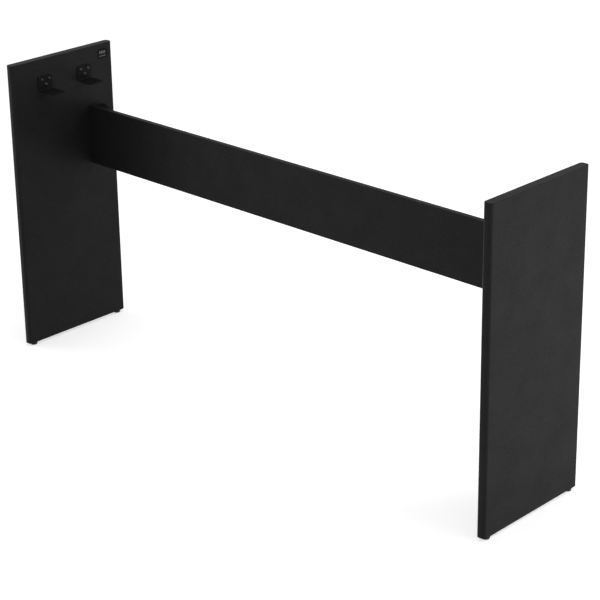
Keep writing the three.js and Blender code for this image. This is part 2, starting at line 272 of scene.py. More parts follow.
def laminate_for(name, low, high):
    """Black laminate for one board: pressed grain, a faint tone change, and paler edges that are partly
    rubbing wear and partly a painted arris highlight.
    """
    material, tree, shader, place = new_material(name, laminate_specular)
    sizes = {"Vector": place, "Pore Size": pore_size, "Pebble Size": pebble_size}
    grain = use_group(tree, grain_group, sizes)
    box = {"Vector": place, "Centre": (low + high) / 2, "Half Size": (high - low) / 2, "Reach": arris_reach}
    arris = use_group(tree, arris_group, box)
    tone = calc(tree, "MULTIPLY", grain["Tone"], grain_tone_share)
    # Paler edges here are partly rubbing wear and partly painted highlight along the arris.
    lighter = calc(tree, "ADD", tone, calc(tree, "MULTIPLY", arris["Mask"], arris_tone_share))
    colour = mix_colours(tree, lighter, laminate_black, laminate_pale_and_highlight)
    roughness = remap(tree, grain["Tone"], whole, laminate_rough)
    link_surface(tree, shader, colour, roughness, grain["Height"], laminate_relief)
    return material


def box_between(shape, low, high):
    """Adds a closed box between two corners."""
    size = Matrix.Diagonal((*(high - low), 1.0))
    bmesh.ops.create_cube(shape, size=1.0, matrix=Matrix.Translation((low + high) / 2) @ size)


def edges_along(shape, axis):
    """The straight edges that run along one axis."""
    def runs(edge):
        step = edge.verts[0].co - edge.verts[1].co
        return all(abs(step[i]) < same_place for i in range(3) if i != axis)
    return [edge for edge in shape.edges if runs(edge)]


def round_edges(shape, edges, radius, steps):
    """Rounds edges to a radius."""
    bmesh.ops.bevel(shape, geom=edges, offset=radius, offset_type="OFFSET", segments=steps,
                    profile=round_profile, affect="EDGES", material=-1, clamp_overlap=True)


def bar(shape, axis, start, end, centre, radius):
    """Adds a closed round bar along one axis, from start to end, through a centre point."""
    turns = (Matrix.Rotation(pi / 2, 4, "Y"), Matrix.Rotation(pi / 2, 4, "X"), Matrix.Identity(4))
    middle = Vector(centre)
    middle[axis] = (start + end) / 2
    bmesh.ops.create_cone(shape, cap_ends=True, segments=bore_sides, radius1=radius, radius2=radius,
                          depth=abs(end - start), matrix=Matrix.Translation(middle) @ turns[axis])


def new_object(shape, name):
    """Turns a bmesh into an object of its own."""
    mesh = bpy.data.meshes.new(name)
    shape.to_mesh(mesh)
    shape.free()
    thing = bpy.data.objects.new(name, mesh)
    bpy.context.scene.collection.objects.link(thing)
    return thing


def settle(thing):
    """Works the modifiers of an object into its mesh."""
    bpy.context.view_layer.update()
    evaluated = thing.evaluated_get(bpy.context.evaluated_depsgraph_get())
    finished = bpy.data.meshes.new_from_object(evaluated)
    thing.modifiers.clear()
    thing.data = finished


def combine(thing, other_shape, operation):
    """Cuts another closed shape out of an object, or joins it on."""
    other = new_object(other_shape, "tool")
    modifier = thing.modifiers.new("combine", "BOOLEAN")
    modifier.operation = operation
    modifier.solver = "EXACT"
    modifier.use_self = True
    modifier.object = other
    settle(thing)
    bpy.data.objects.remove(other)


def dress(thing, material, node):
    """Finishes a piece: its material, even shading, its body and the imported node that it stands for."""
    thing.data.materials.clear()
    thing.data.materials.append(material)
    thing.data.shade_smooth()
    thing.data.set_sharp_from_angle(angle=smooth_angle)
    even = thing.modifiers.new("even_shading", "WEIGHTED_NORMAL")
    even.keep_sharp = True
    even.weight = even_shading_weight
    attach(thing, "root")
    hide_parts(node)


def bore_along_x(tool, node, radius, side):
    """Adds the bore that a packed fastener sits in, closed at its deep end."""
    low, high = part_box(node)
    before, after = (bore_room, bore_overrun) if side == "left" else (bore_overrun, bore_room)
    bar(tool, x_axis, low.x - before, high.x + after, (low + high) / 2, radius)


for side in sides:
    low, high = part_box(f"{side}_side_board")
    shape = bmesh.new()
    box_between(shape, low, high)
    round_edges(shape, edges_along(shape, z_axis), side_edge_radius, side_edge_steps)
    board = new_object(shape, f"laminated_{side}_side_board")
    bores = bmesh.new()
    for end in ends:
        for number in plate_screws:
            bore_along_x(bores, f"{side}_{end}_bracket_screw_{number}", screw_bore, side)
        pin_low, pin_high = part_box(f"{side}_{end}_glide_pin")
        bar(bores, z_axis, pin_low.z, pin_high.z + bore_room, (pin_low + pin_high) / 2, pin_bore)
    for number in bolts:
        bore_along_x(bores, f"{side}_threaded_insert_{number}", insert_bore, side)
    for level in levels:
        bore_along_x(bores, f"{side}_{level}_dowel", dowel_bore, side)
    combine(board, bores, "DIFFERENCE")
    dress(board, laminate_for(f"{side}_board_laminate", low, high), f"{side}_side_board")


# Edge bands of the side boards
# Thin strips of black plastic ironed on the cut top and bottom ends, which show the raw board.
# They are trimmed flush and their outer rim is scraped round.
band_black = (0.010, 0.0098, 0.0100, 1.0)
band_specular = 0.055
band_rough = (0.48, 0.58)
band_relief = (0.25, 0.00008)
band_pore_size = 0.0006
band_pebble_size = 0.004
band_tone_share = 0.2
band_rim = 0.0005
band_rim_steps = 3


def band_plastic():
    """Matt black strip, a little rougher than the laminate."""
    material, tree, shader, place = new_material("edge_band_plastic", band_specular)
    sizes = {"Vector": place, "Pore Size": band_pore_size, "Pebble Size": band_pebble_size}
    grain = use_group(tree, grain_group, sizes)
    lighter = calc(tree, "MULTIPLY", grain["Tone"], band_tone_share)
    colour = mix_colours(tree, lighter, band_black, laminate_pale_and_highlight)
    roughness = remap(tree, grain["Tone"], whole, band_rough)
    link_surface(tree, shader, colour, roughness, grain["Height"], band_relief)
    return material


def edges_at_height(edges, height):
    """Those edges that lie wholly at one height."""
    def lies(edge):
        return all(abs(vert.co.z - height) < same_place for vert in edge.verts)
    return [edge for edge in edges if lies(edge)]


def centre_of(node):
    """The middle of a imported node's box."""
    low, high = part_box(node)
    return (low + high) / 2


band_material = band_plastic()
for side in sides:
    for end in ("top", "bottom"):
        low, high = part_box(f"{side}_{end}_edge_band")
        shape = bmesh.new()
        box_between(shape, low, high)
        round_edges(shape, edges_along(shape, z_axis), side_edge_radius, side_edge_steps)
        outer = high.z if end == "top" else low.z
        round_edges(shape, edges_at_height(shape.edges, outer), band_rim, band_rim_steps)
        band = new_object(shape, f"trimmed_{side}_{end}_band")
        if end == "bottom":
            bores = bmesh.new()
            for corner in ends:
                centre = centre_of(f"{side}_{corner}_glide_pin")
                bar(bores, z_axis, low.z - bore_overrun, high.z + bore_overrun, centre, pin_bore)
            combine(band, bores, "DIFFERENCE")
        dress(band, band_material, f"{side}_{end}_edge_band")


# Glides
# Round black plastic feet moulded in one piece, with a chamfered foot and a recess for a nail.
# One is nailed up under each corner of each side board.
glide_black = (0.006, 0.006, 0.0062, 1.0)
glide_scuffed = (0.05, 0.048, 0.045, 1.0)
glide_specular = 0.3
glide_rough = (0.45, 0.65)
glide_relief = (0.2, 0.00005)
noise_span = (0.3, 0.7)
scratch_scale = 900.0
scratch_span = (0.4, 0.6)
scratch_shares = (0.2, 1.0)
scuff_height = 0.0015
scuff_share = 0.5
glide_foot_radius = 0.0075
glide_rim_height = 0.002
glide_recess_radius = 0.0033
glide_recess_depth = 0.0022
glide_fillet = 0.0003
turned_steps = 48
soft_edge_steps = 2
soft_edge_angle = radians(35.0)


def soften(thing, radius):
    """Breaks the sharp edges of an object with a small radius."""
    modifier = thing.modifiers.new("arris", "BEVEL")
    modifier.width = radius
    modifier.segments = soft_edge_steps
    modifier.limit_method = "ANGLE"
    modifier.angle_limit = soft_edge_angle
    modifier.profile = round_profile
    settle(thing)


def turned(profile, steps, closed=False):
    """A round shape spun about +Z from its half section, given as radius and height."""
    shape = bmesh.new()
    points = [shape.verts.new((radius, 0.0, height)) for radius, height in profile]
    pairs = list(zip(points, points[1:])) + ([(points[-1], points[0])] if closed else [])
    edges = [shape.edges.new(pair) for pair in pairs]
    bmesh.ops.spin(shape, geom=points + edges, axis=(0, 0, 1), cent=(0, 0, 0), angle=2 * pi,
                   steps=steps, use_merge=True)
    bmesh.ops.remove_doubles(shape, verts=shape.verts, dist=same_place)
    bmesh.ops.recalc_face_normals(shape, faces=shape.faces)
    return shape


def move_to_axis(shape, low, high):
    """Moves a shape spun about +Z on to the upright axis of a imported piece."""
    place = ((low.x + high.x) / 2, (low.y + high.y) / 2, 0.0)
    bmesh.ops.translate(shape, verts=shape.verts, vec=place)


def glide_plastic():
    """Black polypropylene, scuffed grey where it slides on the floor."""
    material, tree, shader, place = new_material("glide_plastic", glide_specular)
    scratches = noise(tree, place, scratch_scale, detail=4.0)
    near_floor = remap(tree, parts_of(tree, place)[z_axis], (0.0, scuff_height), fading)
    scratched = remap(tree, scratches, scratch_span, scratch_shares)
    scuffed = calc(tree, "MULTIPLY", calc(tree, "MULTIPLY", near_floor, scratched), scuff_share)
    colour = mix_colours(tree, scuffed, glide_black, glide_scuffed)
    roughness = remap(tree, scratches, noise_span, glide_rough)
    link_surface(tree, shader, colour, roughness, scratches, glide_relief)
    return material


glide_material = glide_plastic()
for side in sides:
    for end in ends:
        low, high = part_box(f"{side}_{end}_glide")
        rim_radius = (high.x - low.x) / 2
        shape = turned([
            (glide_recess_radius, low.z),
            (glide_foot_radius, low.z),
            (rim_radius, high.z - glide_rim_height),
            (rim_radius, high.z),
            (pin_bore, high.z),
            (pin_bore, low.z + glide_recess_depth),
            (glide_recess_radius, low.z + glide_recess_depth),
        ], turned_steps, closed=True)
        move_to_axis(shape, low, high)
        glide = new_object(shape, f"moulded_{side}_{end}_glide")
        soften(glide, glide_fillet)
        dress(glide, glide_material, f"{side}_{end}_glide")


# Glide pins
# Short zinc-plated nails with flat heads and ringed shanks, driven up through the glides.
zinc_bright = (0.55, 0.56, 0.55, 1.0)
zinc_dull = (0.33, 0.33, 0.31, 1.0)
zinc_specular = 0.5
zinc_metallic = 0.9
zinc_rough = (0.28, 0.45)
zinc_relief = (0.15, 0.00004)
spangle_scale = 700.0
spangle_share = 0.35
stain_scale = 350.0
stain_span = (0.4, 0.7)
stain_shares = (0.0, 0.65)
small_turned_steps = 24
pin_head_thickness = 0.0012
pin_shank_radius = 0.0012
pin_tip_length = 0.002
pin_ring_pitch = 0.0015
pin_ring_depth = 0.00015
pin_ring_shares = (0.25, 0.5)


def plated_zinc(name, bright, dull, rough):
    """Plated steel with the faint spangle and stains of a zinc bath."""
    material, tree, shader, place = new_material(name, zinc_specular, Metallic=zinc_metallic)
    spangle = add_node(tree, "TexVoronoi", {"Vector": place, "Scale": spangle_scale}).outputs["Color"]
    speckled = calc(tree, "MULTIPLY", parts_of(tree, spangle)[0], spangle_share)
    stain = noise(tree, place, stain_scale, detail=4.0)
    share = calc(tree, "ADD", speckled, remap(tree, stain, stain_span, stain_shares))
    colour = mix_colours(tree, share, bright, dull)
    link_surface(tree, shader, colour, remap(tree, share, whole, rough), stain, zinc_relief)
    return material


zinc_material = plated_zinc("bright_zinc", zinc_bright, zinc_dull, zinc_rough)
for side in sides:
    for end in ends:
        low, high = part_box(f"{side}_{end}_glide_pin")
        head_radius = (high.x - low.x) / 2
        head_top = low.z + pin_head_thickness
        rings = int((high.z - pin_tip_length - head_top) / pin_ring_pitch)
        groove, flat = (share * pin_ring_pitch for share in pin_ring_shares)
        profile = [(0.0, low.z), (head_radius, low.z), (head_radius, head_top)]
        profile.append((pin_shank_radius, head_top))
        for ring in range(1, rings):
            ring_height = head_top + ring * pin_ring_pitch
            profile += [
                (pin_shank_radius, ring_height),
                (pin_shank_radius - pin_ring_depth, ring_height + groove),
                (pin_shank_radius, ring_height + flat),
            ]
        profile += [(pin_shank_radius, high.z - pin_tip_length), (0.0, high.z)]
        shape = turned(profile, small_turned_steps)
        move_to_axis(shape, low, high)
        pin = new_object(shape, f"ringed_{side}_{end}_pin")
        dress(pin, zinc_material, f"{side}_{end}_glide_pin")


# Dowels
# Turned beech pegs with pressed flutes and chamfered ends, two at each end of the cross board.
# They are glued into the cross board and pushed dry into the side board.
beech_pale = (0.56, 0.37, 0.21, 1.0)
beech_dark = (0.38, 0.22, 0.11, 1.0)
beech_specular = 0.3
beech_rough = (0.55, 0.75)
beech_relief = (0.3, 0.0001)
fleck_scales = (60.0, 900.0, 900.0)
fleck_span = (0.35, 0.7)
dowel_flutes = 16
points_per_flute = 3
dowel_flute_depth = 0.00035
dowel_chamfer = 0.001


def beech_wood():
    """Pale beech with its fine fleck along the peg."""
    material, tree, shader, place = new_material("beech", beech_specular)
    stretched = add_node(tree, "Mapping", {"Vector": place, "Scale": fleck_scales}).outputs[0]
    fleck = noise(tree, stretched, 1.0, detail=5.0)
    colour = mix_colours(tree, remap(tree, fleck, fleck_span), beech_pale, beech_dark)
    roughness = remap(tree, fleck, noise_span, beech_rough)
    link_surface(tree, shader, colour, roughness, fleck, beech_relief)
    return material


def only(kind, items):
    """The items of one bmesh kind."""
    return [item for item in items if isinstance(item, kind)]


def pull_out(shape, faces, along, spread):
    """Extrudes faces along X and spreads their rim by a factor about the peg's axis."""
    grown = bmesh.ops.extrude_face_region(shape, geom=faces)["geom"]
    verts = only(bmesh.types.BMVert, grown)
    bmesh.ops.translate(shape, verts=verts, vec=(along, 0.0, 0.0))
    bmesh.ops.scale(shape, verts=verts, vec=(1.0, spread, spread))
    bmesh.ops.delete(shape, geom=faces, context="FACES_ONLY")
    return only(bmesh.types.BMFace, grown)


beech_material = beech_wood()
for side in sides:
    for level in levels:
        low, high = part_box(f"{side}_{level}_dowel")
        radius = (high.y - low.y) / 2
        thin_share = (radius - dowel_chamfer) / radius
        flute_share = (radius - dowel_flute_depth) / radius
        shape = bmesh.new()
        facing_x = Matrix.Rotation(pi / 2, 4, "Y")
        rim = bmesh.ops.create_circle(shape, cap_ends=True, segments=points_per_flute * dowel_flutes,
                                      radius=radius, matrix=facing_x)["verts"]
        flutes = rim[::points_per_flute]
        bmesh.ops.scale(shape, verts=flutes, vec=(1.0, flute_share, flute_share))
        bmesh.ops.scale(shape, verts=rim, vec=(1.0, thin_share, thin_share))
        back = bmesh.ops.duplicate(shape, geom=list(shape.faces))["geom"]
        bmesh.ops.reverse_faces(shape, faces=only(bmesh.types.BMFace, back))
        cap = [face for face in shape.faces if face not in back]
        cap = pull_out(shape, cap, dowel_chamfer, 1.0 / thin_share)
        cap = pull_out(shape, cap, high.x - low.x - 2 * dowel_chamfer, 1.0)
        pull_out(shape, cap, dowel_chamfer, thin_share)
        bmesh.ops.remove_doubles(shape, verts=shape.verts, dist=same_place)
        bmesh.ops.recalc_face_normals(shape, faces=shape.faces)
        start = (low.x, (low.y + high.y) / 2, (low.z + high.z) / 2)
        bmesh.ops.translate(shape, verts=shape.verts, vec=start)
        dowel = new_object(shape, f"fluted_{side}_{level}_dowel")
        dress(dowel, beech_material, f"{side}_{level}_dowel")


# Cross board
# A 12 mm board of the same laminated stock that stands on edge between the side boards.
# Its long cut edges carry the same plastic strips, and its raw ends butt on the side boards.
fitting_screws = (1, 2, 3, 4)
low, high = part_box("cross_board")
shape = bmesh.new()
box_between(shape, low, high)
board = new_object(shape, "laminated_cross_board")
bores = bmesh.new()
for side in sides:
    for level in levels:
        dowel_low, dowel_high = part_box(f"{side}_{level}_dowel")
        if side == "left":
            start, end = low.x - bore_overrun, dowel_high.x + bore_room
        else:
            start, end = dowel_low.x - bore_room, high.x + bore_overrun
        bar(bores, x_axis, start, end, (dowel_low + dowel_high) / 2, dowel_bore)
    for number in fitting_screws:
        screw_low, screw_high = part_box(f"{side}_fitting_screw_{number}")
        centre = (screw_low + screw_high) / 2
        bar(bores, y_axis, screw_low.y - bore_room, high.y + bore_overrun, centre, screw_bore)
combine(board, bores, "DIFFERENCE")
dress(board, laminate_for("cross_board_laminate", low, high), "cross_board")
for end in ("top", "bottom"):
    low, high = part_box(f"cross_{end}_edge_band")
    shape = bmesh.new()
    box_between(shape, low, high)
    outer = high.z if end == "top" else low.z
    long_edges = edges_at_height(edges_along(shape, x_axis), outer)
    round_edges(shape, long_edges, band_rim, band_rim_steps)
    band = new_object(shape, f"trimmed_cross_{end}_band")
    dress(band, band_material, f"cross_{end}_edge_band")


# Threaded inserts
# Zinc sleeves with a coarse wood thread outside and a machine thread for the bolts inside.
# They are driven into the side boards from the inner face.
insert_thread_pitch = 0.0026
insert_thread_depth = 0.0009
insert_wall_bore = 0.00325
thread_steps = 24
ridge_sunk_share = 0.25
ridge_half_share = 0.3


def turn_along(shape, direction, place, spin=0.0):
    """Turns a shape made along +Z to face a direction, and moves its origin to a place."""
    facing = Vector(direction).to_track_quat("Z", "Y").to_matrix().to_4x4()
    matrix = Matrix.Translation(place) @ facing @ Matrix.Rotation(spin, 4, "Z")
    bmesh.ops.transform(shape, matrix=matrix, verts=shape.verts)


def thread_ridge(radius, depth, pitch, start, turns):
    """A closed helical ridge that stands on a round core."""
    shape = bmesh.new()
    sunk = radius - depth * ridge_sunk_share
    half = pitch * ridge_half_share
    corners = ((sunk, 0.0, start - half), (radius + depth, 0.0, start), (sunk, 0.0, start + half))
    section = [shape.verts.new(corner) for corner in corners]
    edges = [shape.edges.new(pair) for pair in zip(section, section[1:] + section[:1])]
    bmesh.ops.spin(shape, geom=section + edges, axis=(0, 0, 1), cent=(0, 0, 0),
                   dvec=(0, 0, pitch / thread_steps), angle=2 * pi * turns,
                   steps=int(thread_steps * turns), use_merge=False)
    open_edges = [edge for edge in shape.edges if edge.is_boundary]
    bmesh.ops.holes_fill(shape, edges=open_edges, sides=len(section))
    bmesh.ops.recalc_face_normals(shape, faces=shape.faces)
    return shape


def inward(side):
    """The direction from a side board towards the middle of the stand."""
    return Vector((1.0, 0.0, 0.0)) if side == "left" else Vector((-1.0, 0.0, 0.0))


def outer_end(side, low, high):
    """The end of a box, along X, that lies away from the middle of the stand."""
    return low.x if side == "left" else high.x


def take_shape(thing):
    """The shape of an object, to work on."""
    shape = bmesh.new()
    shape.from_mesh(thing.data)
    return shape


def give_back(shape, thing):
    """Puts a worked shape back into its object."""
    shape.to_mesh(thing.data)
    shape.free()


for side in sides:
    for number in bolts:
        node = f"{side}_threaded_insert_{number}"
        low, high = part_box(node)
        length = high.x - low.x
        core = (high.y - low.y) / 2 - insert_thread_depth
        wall = [(insert_wall_bore, 0.0), (core, 0.0), (core, length), (insert_wall_bore, length)]
        shape = turned(wall, small_turned_steps, closed=True)
        sleeve = new_object(shape, f"threaded_{side}_sleeve_{number}")
        turns = (length - insert_thread_pitch) / insert_thread_pitch
        start = insert_thread_pitch / 2
        ridge = thread_ridge(core, insert_thread_depth, insert_thread_pitch, start, turns)
        combine(sleeve, ridge, "UNION")
        deep_end = centre_of(node)
        deep_end.x = outer_end(side, low, high)
        shape = take_shape(sleeve)
        turn_along(shape, inward(side), deep_end)
        give_back(shape, sleeve)
        dress(sleeve, zinc_material, node)


# Corner fittings
# Folded and welded sheet steel, painted black, that joins each end of the cross board to its side
# board from behind. A triangular flange above and below keeps the corner square.
paint_black = (0.0045, 0.0045, 0.0047, 1.0)
# The pale paint colour: rubbed patches of wear mix toward it, and so do the sheared sides, which stand for
# thin paint and for a painted highlight on the lit cut edges.
paint_worn_and_highlight = (0.025, 0.025, 0.025, 1.0)
paint_specular = 0.06
paint_rough = (0.42, 0.54)
paint_relief = (0.3, 0.00005)
peel_scale = 1100.0
rub_scale = 120.0
sheared_shares = (0.25, 0.65)
rub_span = (0.55, 0.8)
rub_shares = (0.0, 0.25)
fitting_sheet = 0.002
fitting_bend = 0.0015
fitting_bolt_hole = 0.00325
sheet_arris = 0.0002
bend_steps = 8


def paint_for(name, low, high):
    """Satin powder paint for a folded piece, with orange peel, rubbed patches, and paler sheared sides that
    are partly thin paint and partly a painted highlight on the lit cut edges.
    """
    material, tree, shader, place = new_material(name, paint_specular)
    peel = noise(tree, place, peel_scale, detail=2.0)
    patches = noise(tree, place, rub_scale, detail=6.0)
    from_middle = parts_of(tree, vector_calc(tree, "SUBTRACT", place, (low + high) / 2))
    across = calc(tree, "ABSOLUTE", from_middle[y_axis])
    half_width = (high.y - low.y) / 2
    # Sheared sides paler: partly thin paint, partly painted highlight where the cut edges catch the light.
    sheared = remap(tree, across, (half_width - 2 * sheet_arris, half_width - sheet_arris))
    thin_and_highlit = calc(tree, "MULTIPLY", sheared, remap(tree, patches, noise_span, sheared_shares))
    worn_and_highlit = calc(tree, "MAXIMUM", thin_and_highlit, remap(tree, patches, rub_span, rub_shares))
    colour = mix_colours(tree, worn_and_highlit, paint_black, paint_worn_and_highlight)
    roughness = remap(tree, patches, noise_span, paint_rough)
    link_surface(tree, shader, colour, roughness, peel, paint_relief)
    return material


def slide_edge(shape, edge, step):
    """Extrudes one edge by a step and gives the new edge."""
    grown = bmesh.ops.extrude_edge_only(shape, edges=[edge])["geom"]
    verts = only(bmesh.types.BMVert, grown)
    bmesh.ops.translate(shape, verts=verts, vec=step)
    return next(new for new in only(bmesh.types.BMEdge, grown) if all(vert in verts for vert in new.verts))


def folded_sheet(out, up, sheet, bend, width):
    """A sheet folded square along Y: one leg out along X, one up along Z, its outer corner at zero."""
    shape = bmesh.new()
    inner = sheet + bend
    edge = shape.edges.new([shape.verts.new((x, 0.0, up)) for x in (0.0, sheet)])
    edge = slide_edge(shape, edge, (0.0, 0.0, inner - up))
    spun = bmesh.ops.spin(shape, geom=[edge, *edge.verts], axis=(0, -1, 0), cent=(inner, 0, inner),
                          angle=pi / 2, steps=bend_steps, use_merge=False)["geom_last"]
    slide_edge(shape, only(bmesh.types.BMEdge, spun)[0], (out - inner, 0.0, 0.0))
    grown = bmesh.ops.extrude_face_region(shape, geom=list(shape.faces))["geom"]
    bmesh.ops.translate(shape, verts=only(bmesh.types.BMVert, grown), vec=(0.0, width, 0.0))
    bmesh.ops.translate(shape, verts=shape.verts, vec=(0.0, -width / 2, 0.0))
    bmesh.ops.recalc_face_normals(shape, faces=shape.faces)
    return shape


def fitting_flange(reach, depth, level):
    """One triangular flange of a fitting, with its outer corner rounded like the fold."""
    shape = bmesh.new()
    box_between(shape, Vector((0.0, 0.0, level)), Vector((reach, depth, level + fitting_sheet)))
    inner = fitting_sheet + fitting_bend
    upright = edges_along(shape, z_axis)
    outer_corner = [edge for edge in upright if edge.verts[0].co.xy.length < same_place]
    round_edges(shape, outer_corner, inner, bend_steps)
    slope = Vector((depth - fitting_sheet, reach - inner, 0.0))
    parts = [*shape.verts, *shape.edges, *shape.faces]
    sawn = bmesh.ops.bisect_plane(shape, geom=parts, plane_co=(reach, fitting_sheet, 0.0),
                                  plane_no=slope, clear_outer=True)["geom_cut"]
    bmesh.ops.holes_fill(shape, edges=only(bmesh.types.BMEdge, sawn), sides=0)
    bmesh.ops.recalc_face_normals(shape, faces=shape.faces)
    return shape


def seat_folded(thing, side, place):
    """Mirrors a folded piece for the right side, and moves its outer corner to a place."""
    shape = take_shape(thing)
    bmesh.ops.scale(shape, verts=shape.verts, vec=(inward(side).x, 1.0, 1.0))
    bmesh.ops.translate(shape, verts=shape.verts, vec=place)
    bmesh.ops.recalc_face_normals(shape, faces=shape.faces)
    give_back(shape, thing)


for side in sides:
    node = f"{side}_corner_fitting"
    low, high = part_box(node)
    reach, depth, height = high - low
    middle = (low + high) / 2
    outer = outer_end(side, low, high)
    wall = folded_sheet(reach, depth, fitting_sheet, fitting_bend, height)
    bmesh.ops.rotate(wall, verts=wall.verts, cent=(0, 0, 0), matrix=Matrix.Rotation(-pi / 2, 3, "X"))
    bmesh.ops.scale(wall, verts=wall.verts, vec=(1.0, 1.0, -1.0))
    bmesh.ops.recalc_face_normals(wall, faces=wall.faces)
    fitting = new_object(wall, f"folded_{side}_corner_fitting")
    for flange_level in (-height / 2, height / 2 - fitting_sheet):
        combine(fitting, fitting_flange(reach, depth, flange_level), "UNION")
    holes = bmesh.new()
    for number in bolts:
        centre = centre_of(f"{side}_fitting_bolt_{number}") - Vector((0.0, low.y, middle.z))
        bar(holes, x_axis, -bore_overrun, fitting_sheet + bore_overrun, centre, fitting_bolt_hole)
    for number in fitting_screws:
        centre = centre_of(f"{side}_fitting_screw_{number}") - Vector((0.0, 0.0, middle.z))
        centre.x = abs(centre.x - outer)
        bar(holes, y_axis, -bore_overrun, fitting_sheet + bore_overrun, centre, screw_bore)
    combine(fitting, holes, "DIFFERENCE")
    soften(fitting, sheet_arris)
    seat_folded(fitting, side, (outer, low.y, middle.z))
    dress(fitting, paint_for(f"{side}_fitting_paint", low, high), node)


# Fitting bolts and wood screws
# Domed zinc-plated heads with a cross recess over a rolled thread. The bolts pull the corner
# fittings on to the inserts, and the screws hold them to the back of the cross board.
plated_dark = (0.038, 0.038, 0.039, 1.0)
plated_grey = (0.022, 0.022, 0.023, 1.0)
plated_rough = (0.25, 0.4)
head_rim_share = 0.35
dome_steps = 7
recess_span_share = 1.1
recess_width_share = 0.22
recess_depth_share = 0.55
recess_taper = 0.55
thread_runout_turns = 0.75
screw_head_height = 0.0024
screw_shank = 0.0019
screw_thread_pitch = 0.0014
screw_thread_depth = 0.0004
screw_tip = 0.003
screw_spin = 1.1
bolt_head_height = 0.0034
bolt_shank = 0.00295
bolt_thread_pitch = 0.001
bolt_thread_depth = 0.0003
bolt_tip = 0.001
bolt_spin = 0.7


def domed_screw(name, head_radius, head_height, shank, length, tip, pitch, depth):
    """A screw with its head up along +Z and the underside of the head at zero."""
    rim = head_height * head_rim_share
    profile = [(0.0, -length), (shank - depth, tip - length), (shank - depth, 0.0), (head_radius, 0.0)]
    for step in range(dome_steps):
        rise = Matrix.Rotation(pi / 2 * step / dome_steps, 2) @ Vector((1.0, 0.0))
        profile.append((head_radius * rise.x, rim + (head_height - rim) * abs(rise.y)))
    profile.append((0.0, head_height))
    screw = new_object(turned(profile, turned_steps), name)
    recess = bmesh.new()
    span = head_radius * recess_span_share
    width = head_radius * recess_width_share
    deep = head_height * recess_depth_share
    for quarter in (0.0, pi / 2):
        size = Matrix.Diagonal((span, width, 2 * deep, 1.0))
        arm = bmesh.ops.create_cube(recess, size=1.0, matrix=size)["verts"]
        bottom = [vert for vert in arm if vert.co.z < 0.0]
        bmesh.ops.scale(recess, verts=bottom, vec=(recess_taper, recess_taper, 1.0))
        bmesh.ops.rotate(recess, verts=arm, cent=(0, 0, 0), matrix=Matrix.Rotation(quarter, 3, "Z"))
    bmesh.ops.translate(recess, verts=recess.verts, vec=(0.0, 0.0, head_height))
    combine(screw, recess, "DIFFERENCE")
    turns = (length - tip) / pitch - thread_runout_turns
    combine(screw, thread_ridge(shank - depth, depth, pitch, tip - length + pitch / 2, turns), "UNION")
    return screw


def node_size(node):
    """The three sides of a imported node's box, longest first."""
    low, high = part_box(node)
    return sorted(high - low, reverse=True)


def wood_screw(name, node):
    """A wood screw of the same length and head as a packed one."""
    length, head, _ = node_size(node)
    return domed_screw(name, head / 2, screw_head_height, screw_shank, length - screw_head_height,
                       screw_tip, screw_thread_pitch, screw_thread_depth)


def drive_screw(pattern, name, node, direction, head_height, spin):
    """A copy of a screw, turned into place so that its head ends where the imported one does."""
    low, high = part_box(node)
    place = (low + high) / 2
    axis = max(range(3), key=lambda number: abs(direction[number]))
    place[axis] = (high if direction[axis] > 0 else low)[axis] - direction[axis] * head_height
    shape = take_shape(pattern)
    turn_along(shape, direction, place, spin)
    dress(new_object(shape, name), screw_material, node)


screw_material = plated_zinc("dark_zinc", plated_dark, plated_grey, plated_rough)
bolt_length, bolt_head, _ = node_size("left_fitting_bolt_1")
bolt_pattern = domed_screw("bolt_pattern", bolt_head / 2, bolt_head_height, bolt_shank,
                           bolt_length - bolt_head_height, bolt_tip, bolt_thread_pitch, bolt_thread_depth)
short_pattern = wood_screw("short_pattern", "left_fitting_screw_1")
to_rear = Vector((0.0, 1.0, 0.0))
for side in sides:
    for number in bolts:
        drive_screw(bolt_pattern, f"driven_{side}_bolt_{number}", f"{side}_fitting_bolt_{number}",
                    inward(side), bolt_head_height, bolt_spin * number)
    for number in fitting_screws:
        name = f"{side}_fitting_screw_{number}"
        drive_screw(short_pattern, "driven_" + name, name, to_rear, screw_head_height, screw_spin * number)
bpy.data.objects.remove(bolt_pattern)
bpy.data.objects.remove(short_pattern)


# Piano brackets
# Flat steel folded square, painted black, with three holes in the plate that is screwed to the
# side board and one in the leaf that the piano rests on.
bracket_sheet = 0.003
bracket_bend = 0.0025
bracket_corner = 0.003
bracket_corner_steps = 6
piano_hole = 0.0045
piano_hole_from_board = 0.034
for side in sides:
    for end in ends:
        node = f"{side}_{end}_piano_bracket"
        low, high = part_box(node)
        reach, width, rise = high - low
        middle = (low + high) / 2
        shape = folded_sheet(reach, rise, bracket_sheet, bracket_bend, width)
        corners = [edge for edge in edges_along(shape, x_axis) if edge.verts[0].co.z > rise - same_place]
        corners += [edge for edge in edges_along(shape, z_axis) if edge.verts[0].co.x > reach - same_place]
        round_edges(shape, corners, bracket_corner, bracket_corner_steps)
        bracket = new_object(shape, f"folded_{side}_{end}_bracket")
        holes = bmesh.new()
        for number in plate_screws:
            centre = centre_of(f"{side}_{end}_bracket_screw_{number}") - Vector((0.0, middle.y, low.z))
            bar(holes, x_axis, -bore_overrun, bracket_sheet + bore_overrun, centre, screw_bore)
        centre = (piano_hole_from_board, 0.0, 0.0)
        bar(holes, z_axis, -bore_overrun, bracket_sheet + bore_overrun, centre, piano_hole)
        combine(bracket, holes, "DIFFERENCE")
        soften(bracket, sheet_arris)
        seat_folded(bracket, side, (outer_end(side, low, high), middle.y, low.z))
        dress(bracket, paint_for(f"{side}_{end}_bracket_paint", low, high), node)


